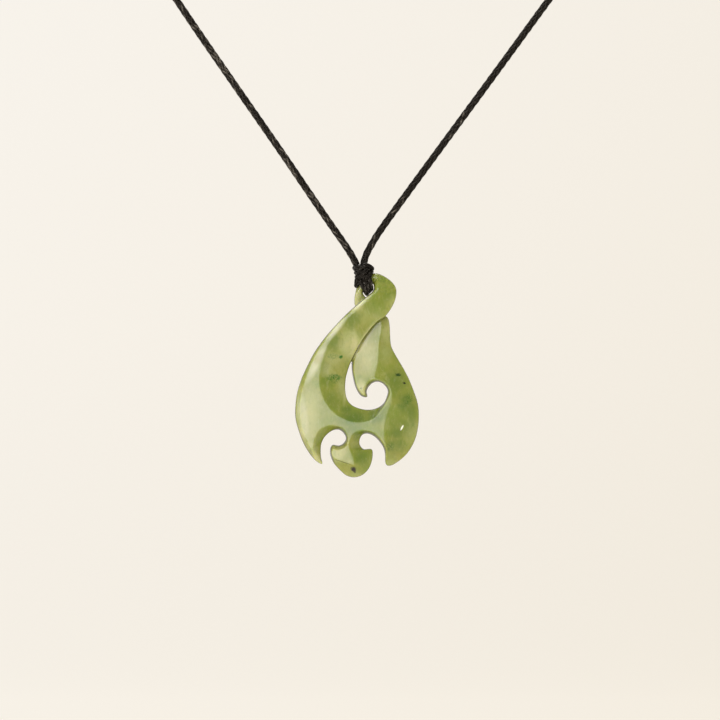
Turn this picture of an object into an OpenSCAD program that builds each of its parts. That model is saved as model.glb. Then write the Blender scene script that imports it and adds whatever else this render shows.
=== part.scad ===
// Carved green stone hook pendant, hung on a loop of black braided cord.
// Millimetres. +Z is up and the front of the pendant faces -Y.
// The origin is on the closure's lower side, where the cord lies on the nape.

/* [Stone hook] */
// Thickness of the body of the hook, between its two flat faces
body_t = 5.0; // [4.6:0.1:5.4]
// Width of the rounding along every thin edge
lip = 0.25; // [0.1:0.05:0.3]
// Steps between two rows of an outline table
steps = 3; // [3:1:5]

/* [Cord] */
// Diameter of the braided cord
cord_d = 1.5; // [1.2:0.1:1.6]
// Diameter of the cord where it is drawn tight round the bar
turn_d = 1.2; // [1.1:0.02:1.22]
// Radius of the middle line of a turn round the bar
turn_r = 2.4; // [2.34:0.02:2.44]

/* [Pendant knot] */
// Radius of the middle line of the knot's upper wrap
upper_wrap_r = 1.95; // [1.8:0.05:2.0]
// Radius of the middle line of the knot's lower wrap
lower_wrap_r = 1.65; // [1.5:0.05:1.7]
// Diameter of the strands inside the knot's wraps
core_d = 2.8; // [2.4:0.1:3.0]

/* [Back closure] */
// Length of the closure along the cord
closure_l = 20; // [16:1:20]
// Diameter of the closure
closure_d = 3.6; // [2.6:0.1:4]
// Rounding of the closure's ends, held to a quarter of its diameter
closure_round = 0.9; // [0.2:0.1:0.9]

/* [Hidden] */

// Where the bar of the hook hangs in its two turns of cord, and the axis it swings on
hang = [1.1, 0, -173.5];
// The tables are drawn for a body 5 mm thick
t_scale = body_t / 5;
half_t = body_t / 2;
// The least half thickness of an edge beside its rounding
edge_min = 0.15;
// The web of stone that joins the arm to the leg behind it, where they cross
web = [0.4, -0.45, -9.2];
web_r = 1.6;
web_l = 0.9;

// The strand: it leaves the left side of the body, rises in front as the arm, turns over as the loop
// and the round bar, goes down behind the arm and ends as the right side of the body.
// Side a is the outer left edge of the arm, the hole's side of the loop, and the outer right edge.
// Columns: a side x, z, b side x, z, share of the width at which the a ridge and the b ridge lie,
// depth of the middle, half thickness at the ridges, half thickness at the a edge and at the b edge.
STRAND = [
    [-16.1, -23.7,  -5.3, -23.7, 0.10, 0.41,  0.00, 2.50, 1.4, 0.9],
    [-14.7, -20.7,  -4.4, -20.7, 0.08, 0.34, -0.35, 2.35, 1.3, 0.8],
    [-13.0, -17.5,  -2.9, -17.5, 0.06, 0.27, -1.05, 2.00, 1.2, 0.8],
    [-10.5, -14.0,  -1.3, -14.6, 0.05, 0.21, -1.55, 1.65, 1.0, 0.9],
    [ -7.8, -10.9,   0.6, -12.0, 0.05, 0.18, -1.70, 1.55, 1.0, 0.9],
    [ -5.4,  -8.4,   2.5, -10.0, 0.05, 0.17, -1.70, 1.55, 1.0, 0.9],
    [ -3.1,  -6.3,   4.3,  -8.8, 0.05, 0.18, -1.70, 1.55, 0.9, 0.9],
    [ -1.2,  -4.7,   5.7,  -7.0, 0.06, 0.20, -1.70, 1.55, 0.9, 0.9],
    [  0.3,  -3.5,   6.8,  -4.7, 0.07, 0.22, -1.60, 1.50, 0.9, 0.9],
    [  1.5,  -2.4,   7.1,  -2.5, 0.08, 0.25, -1.35, 1.50, 0.9, 0.9],
    [  1.55, -1.4,   6.5,  -0.9, 0.10, 0.33, -1.00, 1.45, 0.8, 0.8],
    [  1.5,  -0.8,   4.8,   0.7, 0.17, 0.50, -0.55, 1.35, 0.6, 0.6],
    [  1.4,  -0.5,   2.2,   1.9, 0.27, 0.70, -0.15, 1.15, 0.5, 0.5],
    [  1.1,  -1.0,   0.0,   1.3, 0.29, 0.71,  0.00, 1.15, 0.5, 0.5],
    [  0.2,  -1.7,  -1.5,   0.0, 0.29, 0.71,  0.05, 1.10, 0.5, 0.5],
    [ -0.8,  -2.3,  -2.5,  -1.1, 0.29, 0.71,  0.15, 1.10, 0.5, 0.5],
    [ -1.10, -3.15, -2.9,  -2.5, 0.34, 0.71,  0.15, 1.00, 0.3, 0.5],
    [ -0.30, -4.15, -3.2,  -4.2, 0.44, 0.74,  0.60, 1.10, 0.4, 0.7],
    [  0.5,  -5.2,  -3.1,  -6.2, 0.29, 0.71,  1.45, 1.35, 0.8, 0.8],
    [  2.1,  -6.6,  -2.3,  -8.6, 0.28, 0.75,  1.70, 1.55, 1.0, 0.9],
    [  3.8,  -8.1,  -1.6, -10.8, 0.27, 0.80,  1.70, 1.55, 1.0, 0.9],
    [  5.1,  -9.2,  -1.4, -12.8, 0.25, 0.88,  1.65, 1.60, 1.0, 0.9],
    [  5.5, -11.2,  -1.8, -14.8, 0.28, 0.93,  1.50, 1.65, 1.0, 0.9],
    [  5.6, -13.7,  -2.9, -17.0, 0.31, 0.91,  1.25, 1.70, 1.0, 0.8],
    [  5.9, -16.2,  -3.6, -18.9, 0.33, 0.94,  0.95, 1.90, 1.0, 0.7],
    [  7.3, -18.9,  -3.9, -20.9, 0.41, 0.96,  0.60, 2.15, 1.0, 1.0],
    [  8.9, -21.6,  -3.8, -22.5, 0.53, 0.97,  0.25, 2.36, 1.1, 1.1],
    [ 10.0, -23.7,  -3.6, -23.7, 0.59, 0.97,  0.00, 2.50, 1.1, 1.2],
];

// The rim outside: left edge, left notch, tongue, right notch, right edge.
// Columns: edge x, z, ridge x, z, half thickness at the edge.
OUTER_RIM = [
    [-16.1, -23.7, -15.0, -23.7, 1.4],
    [-17.2, -27.1, -16.0, -26.6, 1.4],
    [-17.7, -30.5, -16.6, -30.3, 1.4],
    [-17.7, -33.7, -16.5, -33.7, 1.4],
    [-16.9, -36.9, -15.9, -36.9, 1.3],
    [-15.6, -40.2, -14.8, -39.6, 1.2],
    [-14.0, -42.8, -13.9, -41.2, 1.1],
    [-12.4, -44.5, -13.5, -41.9, 0.9],
    [-11.1, -45.0, -13.4, -41.9, 0.8],
    [-11.4, -43.5, -13.2, -41.6, 0.9],
    [-11.5, -41.8, -13.1, -40.8, 0.9],
    [-11.3, -39.9, -12.7, -38.6, 1.0],
    [-10.3, -38.1, -11.7, -36.7, 1.0],
    [ -8.6, -36.8,  -9.5, -35.6, 1.0],
    [ -7.0, -36.6,  -7.0, -35.8, 1.1],
    [ -5.8, -37.5,  -5.5, -36.9, 1.2],
    [ -5.3, -38.8,  -4.8, -38.9, 1.3],
    [ -6.0, -40.0,  -5.3, -40.6, 1.0],
    [ -7.1, -40.5,  -6.7, -41.4, 1.0],
    [ -8.6, -40.3,  -8.2, -41.3, 1.0],
    [ -9.2, -41.4,  -8.8, -41.9, 1.0],
    [ -9.1, -43.0,  -8.6, -43.0, 1.0],
    [ -8.3, -44.8,  -8.2, -43.6, 1.0],
    [ -6.8, -46.5,  -6.8, -44.1, 1.0],
    [ -5.1, -47.9,  -5.1, -44.7, 1.0],
    [ -3.1, -48.3,  -3.5, -45.2, 1.0],
    [ -1.2, -47.7,  -3.2, -45.2, 1.0],
    [  0.3, -46.2,  -3.1, -44.8, 1.0],
    [  1.1, -44.2,  -3.2, -43.9, 1.0],
    [  1.3, -42.1,  -3.6, -42.9, 1.0],
    [  0.8, -41.3,  -3.9, -42.0, 1.0],
    [ -0.9, -41.4,  -4.2, -41.3, 1.0],
    [ -1.9, -40.3,  -4.4, -40.5, 1.0],
    [ -1.9, -39.0,  -4.2, -39.2, 1.0],
    [ -1.2, -37.8,  -2.9, -37.3, 1.0],
    [  0.3, -37.6,  -0.4, -36.8, 1.0],
    [  2.1, -38.6,   1.9, -37.6, 1.0],
    [  3.8, -40.8,   3.7, -39.7, 1.0],
    [  4.3, -42.8,   4.4, -40.7, 1.0],
    [  4.4, -44.8,   4.5, -41.1, 0.9],
    [  5.2, -45.5,   4.6, -41.2, 0.9],
    [  7.0, -44.8,   4.6, -40.8, 1.0],
    [  9.7, -42.5,   4.5, -39.3, 1.1],
    [ 11.6, -39.3,   4.3, -37.6, 1.1],
    [ 12.5, -35.6,   4.4, -34.9, 1.1],
    [ 12.6, -31.9,   5.1, -32.3, 1.1],
    [ 12.2, -29.5,   6.0, -30.1, 1.1],
    [ 11.6, -27.7,   6.1, -27.7, 1.1],
    [ 10.9, -25.8,   5.2, -25.7, 1.1],
    [ 10.0, -23.7,   2.0, -23.7, 1.1],
];

// The rim round the middle opening: the crescent, the curl, the point of the blade, its left edge.
// Columns: edge x, z, ridge x, z, half thickness at the edge.
INNER_RIM = [
    [ -5.3, -23.7, -11.7, -23.7, 0.9],
    [ -5.5, -26.3, -11.4, -26.8, 0.9],
    [ -5.1, -28.9, -10.0, -30.0, 0.9],
    [ -3.9, -30.5,  -7.8, -32.5, 0.9],
    [ -1.9, -31.4,  -4.6, -34.3, 0.9],
    [  0.3, -31.7,  -1.6, -34.8, 0.9],
    [  2.5, -31.2,   1.1, -34.1, 0.9],
    [  4.0, -30.0,   2.9, -32.1, 1.0],
    [  4.7, -28.5,   4.5, -29.8, 1.2],
    [  5.0, -27.1,   5.5, -27.7, 1.4],
    [  4.5, -26.0,   5.0, -25.8, 1.5],
    [  3.5, -25.1,   3.9, -24.8, 1.4],
    [  2.3, -24.8,   2.3, -24.3, 1.3],
    [  1.1, -25.2,   0.7, -24.6, 1.2],
    [  0.2, -26.2,  -0.3, -25.7, 1.2],
    [ -0.2, -27.3,  -0.7, -26.9, 1.2],
    [  0.0, -28.5,  -0.6, -27.9, 1.2],
    [ -0.9, -28.6,  -1.1, -28.0, 1.2],
    [ -1.9, -28.0,  -1.6, -27.5, 1.2],
    [ -2.8, -26.5,  -2.4, -26.3, 1.2],
    [ -3.3, -25.0,  -2.9, -24.9, 1.2],
    [ -3.6, -23.7,  -3.2, -23.7, 1.2],
];

// Middle lines of the two legs of cord in the XZ plane, from the knot to the closure's ends
LEFT_ROUTE = [
    [-1.8, -169.1], [-2.8, -167.2], [-4.6, -164.4], [-10.1, -156.5], [-20.1, -141.8], [-31.2, -125.8],
    [-42.3, -109.7], [-50.4, -97.3], [-55.6, -88.0], [-60.0, -77.5], [-62.3, -66.0], [-61.8, -52.0],
    [-57.5, -37.0], [-50.0, -23.5], [-40.0, -13.0], [-29.0, -5.5], [-19.0, -0.8], [-13.0, 1.4],
    [-closure_l / 2, closure_d / 2],
];
RIGHT_ROUTE = [
    [0.2, -169.1], [0.9, -166.8], [2.9, -163.2], [5.3, -159.6], [10.6, -152.3], [20.2, -139.2],
    [30.2, -125.6], [40.2, -111.9], [49.6, -98.8], [55.1, -89.5], [59.8, -78.0], [62.3, -66.0], [61.8, -52.0],
    [57.5, -37.0], [50.0, -23.5], [40.0, -13.0], [29.0, -5.5], [19.0, -0.8], [13.0, 1.4],
    [closure_l / 2, closure_d / 2],
];
// The turns of cord round the bar. Columns: middle x, z, and lean of the foot to the right in degrees
TURNS = [
    [-1.37, -1.07, 31],
    [-0.49, -0.33, 21],
    [ 0.51,  0.27, 10],
];
// Where the knot stands over the bar
knot_x = -1.05;
// The knot's two wraps. Columns: middle x and z from the bar, and tilt in degrees
UPPER_WRAP = [knot_x, 3.4, -6];
LOWER_WRAP = [knot_x + 0.2, 2.35, -14];
// How much thinner the lower wrap is drawn than the cord
lower_wrap_thin = 0.1;
// The strands inside the wraps: height of their foot over the bar, and length
core_z = 1.75;
core_l = 2.3;
// The ends of the strand that rises from the first turn, and of the cut tail in front
RISER = [[-2.5, 0, 1.0], [-2.2, 0, 2.2]];
TAIL = [[-2.2, -0.9, 1.9], [-2.95, -1.75, -0.8]];
// How far a leg of cord reaches into the knot
stub_l = 1.8;
// Directions of the legs where they leave the knot, and where they enter the closure
LEFT_START = [-0.46, 0.89];
RIGHT_START = [0.23, 0.97];
LEFT_END = [1, 0];
RIGHT_END = [-1, 0];
// Sides of a leg's tube, and its rings between two points of the route
cord_sides = 8;
cord_rings = 2;
// Fineness of round solids
round_fn = 48;

// The cubic curve through rows b and c, at share t of the way
function between(a, b, c, d, t) = 0.5 * (
    2 * b + (c - a) * t + (2 * a - 5 * b + 4 * c - d) * pow(t, 2) + (3 * b - a - 3 * c + d) * pow(t, 3)
);

// Rows of a table with n - 1 rows added between each two
function smoothed(rows, n) = let (last = len(rows) - 1) concat(
    [for (i = [0:last - 1], k = [0:n - 1])
        between(rows[max(i - 1, 0)], rows[i], rows[i + 1], rows[min(i + 2, last)], k / n)],
    [rows[last]]
);

function reversed(list) = [for (i = [len(list) - 1:-1:0]) list[i]];

// A point at distance s from a towards b, at depth y
function across(a, b, s, y) = let (p = a + (b - a) * (s / norm(b - a))) [p[0], y, p[1]];

// Corners round one bevelled edge: front ridge, front lip, front edge, then the same behind
function profile(edge, ridge, edge_half, ridge_half, mid) = let (
    width = norm(ridge - edge),
    lip_half = edge_half + (ridge_half - edge_half) * lip / width,
    corners = [[width, ridge_half], [lip, lip_half], [0, max(edge_half - lip, edge_min)]]
) concat(
    [for (c = corners) across(edge, ridge, c[0], mid - c[1])],
    [for (c = reversed(corners)) across(edge, ridge, c[0], mid + c[1])]
);

// The profile of the strand's a side or b side at one row
function a_profile(row) = let (a = [row[0], row[1]], b = [row[2], row[3]])
    profile(a, a + (b - a) * row[4], row[8] * t_scale, row[7] * t_scale, row[6]);
function b_profile(row) = let (a = [row[0], row[1]], b = [row[2], row[3]])
    profile(b, a + (b - a) * row[5], row[9] * t_scale, row[7] * t_scale, row[6]);

// The profile of a rim at one row
function rim_profile(row) = profile([row[0], row[1]], [row[2], row[3]], row[4] * t_scale, half_t, 0);

// The rows of a rim between its two ends, which are the ends of the strand
function rim_profiles(rows) = let (line = smoothed(rows, steps))
    [for (i = [len(line) - 2:-1:1]) rim_profile(line[i])];

// Twice the area of the triangle a, b, c: positive where it turns left
function turn_of(a, b, c) = (b[0] - a[0]) * (c[1] - a[1]) - (b[1] - a[1]) * (c[0] - a[0]);

// Whether corner i of an outline can be cut off: left lists the corners still there
function is_ear(pts, left, i) = let (
    n = len(left),
    a = pts[left[(i + n - 1) % n]],
    b = pts[left[i]],
    c = pts[left[(i + 1) % n]]
) turn_of(a, b, c) > 0 && len([
    for (j = [2:n - 2])
        let (p = pts[left[(i + j) % n]])
        if (turn_of(a, b, p) >= 0 && turn_of(b, c, p) >= 0 && turn_of(c, a, p) >= 0) j
]) == 0;

// The first corner from i on that can be cut off
function next_ear(pts, left, i) = let (k = i % len(left))
    is_ear(pts, left, k) ? k : next_ear(pts, left, i + 1);

// The triangles that fill a flat outline
function filled(pts, left, i = 0, done = []) = let (n = len(left))
    n == 3 ? concat(done, [left])
    : let (e = next_ear(pts, left, i))
        filled(pts, [for (k = [0:n - 1]) if (k != e) left[k]], e + 1,
            concat(done, [[left[(e + n - 1) % n], left[e], left[(e + 1) % n]]]));

// The two triangles of a four-cornered face
function halves(a, b, c, d) = [[a, b, c], [a, c, d]];

// The carved band: a closed strip whose a side and b side are both bevelled edges.
// The strand is its upper part, and the body between the two rims its lower part.
module band() {
    strand = smoothed(STRAND, steps);
    m = len(strand) - 1;
    side_a = concat([for (row = strand) a_profile(row)], rim_profiles(OUTER_RIM));
    side_b = concat([for (row = strand) b_profile(row)], rim_profiles(INNER_RIM));
    na = len(side_a);
    nb = len(side_b);
    points = [for (side = [side_a, side_b], p = side) each p];
    // Index of corner k of profile i, on side a and on side b
    function at_a(i, k) = (i % na) * 6 + k;
    function at_b(i, k) = (na + i % nb) * 6 + k;
    edges_a = [for (i = [0:na - 1], k = [0:4])
        each halves(at_a(i, k), at_a(i, k + 1), at_a(i + 1, k + 1), at_a(i + 1, k))];
    edges_b = [for (i = [0:nb - 1], k = [0:4])
        each halves(at_b(i, k), at_b(i + 1, k), at_b(i + 1, k + 1), at_b(i, k + 1))];
    strand_flats = [for (i = [0:m - 1]) each concat(
        halves(at_a(i, 0), at_a(i + 1, 0), at_b(i + 1, 0), at_b(i, 0)),
        halves(at_a(i, 5), at_b(i, 5), at_b(i + 1, 5), at_a(i + 1, 5))
    )];
    // The outline of the body's flat face runs left to right below, and back along the middle opening
    around = concat([for (i = [na:-1:m]) i % na], [for (i = [m:nb]) na + i % nb]);
    flat_pts = [for (i = around) let (p = points[i * 6]) [p[0], p[2]]];
    flat = filled(flat_pts, [for (i = [0:len(around) - 1]) i]);
    body_flats = [for (t = flat) each [
        [around[t[0]] * 6, around[t[2]] * 6, around[t[1]] * 6],
        [around[t[0]] * 6 + 5, around[t[1]] * 6 + 5, around[t[2]] * 6 + 5]
    ]];
    polyhedron(points = points, faces = concat(edges_a, edges_b, strand_flats, body_flats));
}

module hook() {
    color("olivedrab")
        translate(hang) {
            band();
            translate(web)
                rotate([-90, 0, 0])
                    cylinder(h = web_l, r = web_r, $fn = round_fn);
        }
}

// A ring of cord: r is the radius of its middle line, the axis is Z
module ring(r, d) {
    rotate_extrude($fn = round_fn)
        translate([r, 0])
            circle(d = d, $fn = 24);
}

// A level ring of cord round the knot: row gives its middle x and z and its tilt
module wrap(row, r, d) {
    translate([row[0], 0, row[1]])
        rotate([0, row[2], 0])
            ring(r, d);
}

// A straight length of cord between two points, with round ends
module rod(a, b, d) {
    v = b - a;
    translate(a)
        rotate([0, acos(v[2] / norm(v)), atan2(v[1], v[0])]) {
            cylinder(h = norm(v), d = d, $fn = round_fn);
            sphere(d = d, $fn = round_fn);
            translate([0, 0, norm(v)])
                sphere(d = d, $fn = round_fn);
        }
}

// The flat end that a leg of cord leaves from: its place, and its direction in the XZ plane
module leg_stub(place, direction, length) {
    translate([place[0], 0, place[1]])
        rotate([0, atan2(direction[0], direction[1]), 0])
            translate([0, 0, -length])
                cylinder(h = length, d = cord_d, $fn = round_fn);
}

module pendant_knot() {
    color("dimgray") {
        translate(hang) {
            for (turn = TURNS)
                translate([turn[0], 0, turn[1]])
                    rotate([0, 90 - turn[2], 0])
                        ring(turn_r, turn_d);
            wrap(UPPER_WRAP, upper_wrap_r, cord_d);
            wrap(LOWER_WRAP, lower_wrap_r, cord_d - lower_wrap_thin);
            translate([knot_x, 0, core_z])
                cylinder(h = core_l, d = core_d, $fn = round_fn);
            for (ends = [RISER, TAIL])
                rod(ends[0], ends[1], turn_d);
        }
        leg_stub(LEFT_ROUTE[0], LEFT_START, stub_l);
        leg_stub(RIGHT_ROUTE[0], RIGHT_START, stub_l);
    }
}

// The direction of a route at point i, in the XZ plane
function direction_at(route, i, start, end) =
    i == 0 ? start / norm(start)
    : i == len(route) - 1 ? end / norm(end)
    : let (v = route[i + 1] - route[i - 1]) v / norm(v);

// A ring of points round a point of the route
function tube_ring(p, v, d, sides) = [for (k = [0:sides - 1])
    let (turn = 360 * (k + 0.5) / sides, r = d / 2)
    [p[0] + r * cos(turn) * v[1], r * sin(turn), p[1] - r * cos(turn) * v[0]]
];

// A round tube along a route in the XZ plane, with flat ends
module tube(route, d, start, end) {
    line = smoothed(route, cord_rings);
    n = cord_sides;
    last = len(line) - 1;
    points = [for (i = [0:last]) each tube_ring(line[i], direction_at(line, i, start, end), d, n)];
    walls = [for (i = [0:last - 1], k = [0:n - 1])
        [i * n + k, (i + 1) * n + k, (i + 1) * n + (k + 1) % n, i * n + (k + 1) % n]];
    first_end = [for (k = [0:n - 1]) k];
    last_end = [for (k = [n - 1:-1:0]) last * n + k];
    polyhedron(points = points, faces = concat(walls, [first_end], [last_end]));
}

module cord_left() {
    color("black")
        tube(LEFT_ROUTE, cord_d, LEFT_START, LEFT_END);
}

module cord_right() {
    color("black")
        tube(RIGHT_ROUTE, cord_d, RIGHT_START, RIGHT_END);
}

// One plain barrel that holds both ends of the cord
module back_closure() {
    r = closure_d / 2;
    c = min(closure_round, closure_d / 4);
    half = closure_l / 2;
    color("dimgray")
        translate([0, 0, r])
            rotate([0, 90, 0])
                rotate_extrude($fn = round_fn) {
                    translate([0, -half])
                        square([r - c, closure_l]);
                    translate([0, c - half])
                        square([r, closure_l - 2 * c]);
                    for (z = [c - half, half - c])
                        translate([r - c, z])
                            circle(r = c, $fn = round_fn);
                }
}

hook();
pendant_knot();
cord_left();
cord_right();
back_closure();
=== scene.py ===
"""Looks of a carved green stone hook pendant on a loop of black braided cord.

All lengths in the class fields are millimetres, and the meshes are put into metres when they are made.
"""

from __future__ import annotations

import logging
import math
from collections.abc import Sequence
from dataclasses import dataclass
from enum import Enum
from functools import reduce

import bpy
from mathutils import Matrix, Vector

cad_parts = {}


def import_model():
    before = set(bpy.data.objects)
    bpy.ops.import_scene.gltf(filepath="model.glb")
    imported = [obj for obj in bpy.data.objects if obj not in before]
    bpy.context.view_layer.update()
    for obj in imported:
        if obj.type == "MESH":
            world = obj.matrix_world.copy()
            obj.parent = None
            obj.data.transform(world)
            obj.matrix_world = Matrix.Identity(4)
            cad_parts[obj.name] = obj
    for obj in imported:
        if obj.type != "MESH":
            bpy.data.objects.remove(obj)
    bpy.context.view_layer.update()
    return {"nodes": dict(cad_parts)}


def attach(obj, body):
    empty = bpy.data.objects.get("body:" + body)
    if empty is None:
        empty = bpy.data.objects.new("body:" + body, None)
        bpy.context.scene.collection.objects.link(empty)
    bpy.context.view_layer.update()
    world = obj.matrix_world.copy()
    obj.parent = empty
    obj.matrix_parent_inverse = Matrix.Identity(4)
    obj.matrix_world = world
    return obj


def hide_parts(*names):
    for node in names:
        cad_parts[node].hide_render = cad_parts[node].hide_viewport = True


log = logging.getLogger("hook_pendant")
MM = 0.001
FULL_TURN = 2 * math.pi
# The pendant's middle, which the lamps look at and the paper's colours change about
MIDDLE = (0.0, 0.0, -195.0)
Point = tuple[float, float, float]
# A row of a table, whose columns are named above the table
Row = tuple[float, ...]


class Blend(Enum):
    """How two colours are put together."""

    MIX = "MIX"
    MULTIPLY = "MULTIPLY"


# ---- shader and geometry nodes as Python expressions


@dataclass(frozen=True)
class Value:
    """One output socket of a node tree. Python's operators on it add Math nodes."""

    sheet: Sheet
    socket: bpy.types.NodeSocket | None

    def other(self, output: str) -> Value:
        """Another output of the same node."""
        return Value(self.sheet, self.socket.node.outputs[output])

    def _math(self, operation: str, *terms: Value | float, clamp: bool = False) -> Value:
        """Adds one Math node on numbers or sockets. With clamp its result stays between 0 and 1."""
        settings = {"operation": operation, "use_clamp": clamp}
        return self.sheet.add("ShaderNodeMath", settings, dict(enumerate(terms)))

    def __add__(self, other: Value | float) -> Value:
        """Sum."""
        return self._math("ADD", self, other)

    def __sub__(self, other: Value | float) -> Value:
        """Difference."""
        return self._math("SUBTRACT", self, other)

    def __rsub__(self, other: float) -> Value:
        """Difference, number first."""
        return self._math("SUBTRACT", other, self)

    def __mul__(self, other: Value | float) -> Value:
        """Product."""
        return self._math("MULTIPLY", self, other)

    def __truediv__(self, other: Value | float) -> Value:
        """Quotient."""
        return self._math("DIVIDE", self, other)

    def __rtruediv__(self, other: float) -> Value:
        """Quotient, number first."""
        return self._math("DIVIDE", other, self)

    __radd__ = __add__
    __rmul__ = __mul__

    def sin(self) -> Value:
        """Sine."""
        return self._math("SINE", self)

    def cos(self) -> Value:
        """Cosine."""
        return self._math("COSINE", self)

    def root(self) -> Value:
        """Square root."""
        return self._math("SQRT", self)

    def absolute(self) -> Value:
        """The value without its sign."""
        return self._math("ABSOLUTE", self)

    def floored(self) -> Value:
        """The next whole number below."""
        return self._math("FLOOR", self)

    def rounded(self) -> Value:
        """The nearest whole number."""
        return self._math("ROUND", self)

    def clamped(self) -> Value:
        """The value held between 0 and 1."""
        return self._math("ADD", self, 0.0, clamp=True)

    def larger(self, other: Value | float) -> Value:
        """The larger of two values."""
        return self._math("MAXIMUM", self, other)

    def ramp(self, low: float, high: float) -> Value:
        """A smooth step from 0 where the value is low to 1 where it is high. High may be under low."""
        inputs = {"Value": self, "From Min": low, "From Max": high}
        return self.sheet.add("ShaderNodeMapRange", {"interpolation_type": "SMOOTHSTEP"}, inputs)


@dataclass
class Sheet:
    """A node tree under construction. Every node comes from its add method."""

    tree: bpy.types.NodeTree

    def add(
        self,
        kind: str,
        settings: dict[str, object] | None = None,
        inputs: dict[str | int, object] | None = None,
        output: str | int = 0,
    ) -> Value:
        """Adds a node, sets its settings, then its sockets.

        Args:
            kind: The node's type.
            settings: Attributes of the node. The entry "captures" names the numbers that it keeps.
            inputs: A value, a link or a list of links for each socket, by its name or number.
            output: Which output is given back.

        Returns:
            The chosen output socket.
        """
        node = self.tree.nodes.new(kind)
        for name, setting in (settings or {}).items():
            if name == "captures":
                for kept in setting:
                    node.capture_items.new("FLOAT", kept)
            else:
                setattr(node, name, setting)
        for key, given in (inputs or {}).items():
            for term in given if isinstance(given, list) else [given]:
                if isinstance(term, Value):
                    self.tree.links.new(term.socket, node.inputs[key])
                else:
                    node.inputs[key].default_value = term
        return Value(self, node.outputs[output] if len(node.outputs) else None)

    def vector(self, operation: str, *terms: Value | Point | float, output: str | int = 0) -> Value:
        """Adds one Vector Math node on vectors, or for a scaling on a vector and a number."""
        keys = (0, "Scale") if operation == "SCALE" else range(len(terms))
        return self.add("ShaderNodeVectorMath", {"operation": operation}, dict(zip(keys, terms)), output)

    def mix(
        self, share: Value | float, a: Value | Point, b: Value | Point, how: Blend = Blend.MIX
    ) -> Value:
        """Mixes two colours.

        Args:
            share: How much of b shows, from 0 to 1.
            a: The first colour.
            b: The second colour.
            how: The way they are put together.

        Returns:
            The mixed colour.
        """
        first, second = (c if isinstance(c, Value) else (*c, 1.0) for c in (a, b))
        settings = {"data_type": "RGBA", "blend_type": how.value, "clamp_factor": True}
        return self.add("ShaderNodeMix", settings, {0: share, 6: first, 7: second}, output=2)

    def place(self) -> Value:
        """The point of the surface in millimetres, in the part's own frame."""
        return self.vector("SCALE", self.add("ShaderNodeTexCoord", output="Object"), 1.0 / MM)

    def parts(self, vector: Value) -> tuple[Value, Value, Value]:
        """The three parts of a vector."""
        x = self.add("ShaderNodeSeparateXYZ", inputs={0: vector})
        return x, x.other("Y"), x.other("Z")

    def joined(self, x: Value | float, y: Value | float, z: Value | float) -> Value:
        """A vector from its three parts."""
        return self.add("ShaderNodeCombineXYZ", inputs={0: x, 1: y, 2: z})

    def stretched(self, place: Value, turn: float, scale: Point) -> Value:
        """A place turned about Y by degrees and scaled along each axis, for a pattern with a lean."""
        inputs = {"Vector": place, "Rotation": (0.0, math.radians(turn), 0.0), "Scale": scale}
        return self.add("ShaderNodeMapping", inputs=inputs)

    def noise(self, place: Value, size: float, detail: float, rough: float, warp: float = 0.0) -> Value:
        """A noise near 0.5, by the width of its blotches, its octaves, their strength and its own warp."""
        inputs = {"Vector": place, "Scale": 1.0 / size, "Detail": detail, "Roughness": rough}
        return self.add("ShaderNodeTexNoise", inputs={**inputs, "Distortion": warp})

    def shaken(self, place: Value, scale: float, detail: float, reach: float) -> Value:
        """A place moved about by a noise, so that what is drawn on it gets an uneven outline.

        Args:
            place: The place to move.
            scale: The noise's waves for each millimetre.
            detail: How many octaves the noise has.
            reach: The furthest it moves, along each axis.

        Returns:
            The moved place, half the reach further along each axis on average.
        """
        inputs = {"Vector": place, "Scale": scale, "Detail": detail}
        shake = self.add("ShaderNodeTexNoise", inputs=inputs, output="Color")
        return self.vector("MULTIPLY_ADD", shake, (reach, reach, reach), place)

    def blob(self, place: Value, centre: Point, reach: Point, core: float) -> Value:
        """A soft round patch: 1 over the core, which is a share of its reach, and 0 outside its reach."""
        offset = self.vector("DIVIDE", self.vector("SUBTRACT", place, centre), reach)
        return self.vector("LENGTH", offset, output="Value").ramp(1.0, core)


@dataclass
class Surface(Sheet):
    """The node tree of a material that has one Principled shader."""

    material: bpy.types.Material
    shader: bpy.types.Node

    @classmethod
    def new(cls, name: str, settings: dict[str, object]) -> Surface:
        """Starts a material.

        Args:
            name: The material's name.
            settings: Constant values of the shader's sockets.

        Returns:
            The surface to draw on.
        """
        material = bpy.data.materials.new(name)
        material.use_nodes = True
        nodes = material.node_tree.nodes
        shader = next(n for n in nodes if n.bl_idname == "ShaderNodeBsdfPrincipled")
        for socket, value in settings.items():
            shader.inputs[socket].default_value = value
        return cls(material.node_tree, material, shader)

    def feed(self, socket: str, value: Value) -> None:
        """Links a value to one of the shader's sockets."""
        self.tree.links.new(value.socket, self.shader.inputs[socket])

    def emboss(self, height: Value, strength: float, depth: float = 0.04) -> None:
        """Feeds the shader's normal with a relief of a strength and of a depth in millimetres."""
        inputs = {"Strength": strength, "Distance": depth * MM, "Height": height}
        self.feed("Normal", self.add("ShaderNodeBump", inputs=inputs))


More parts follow.
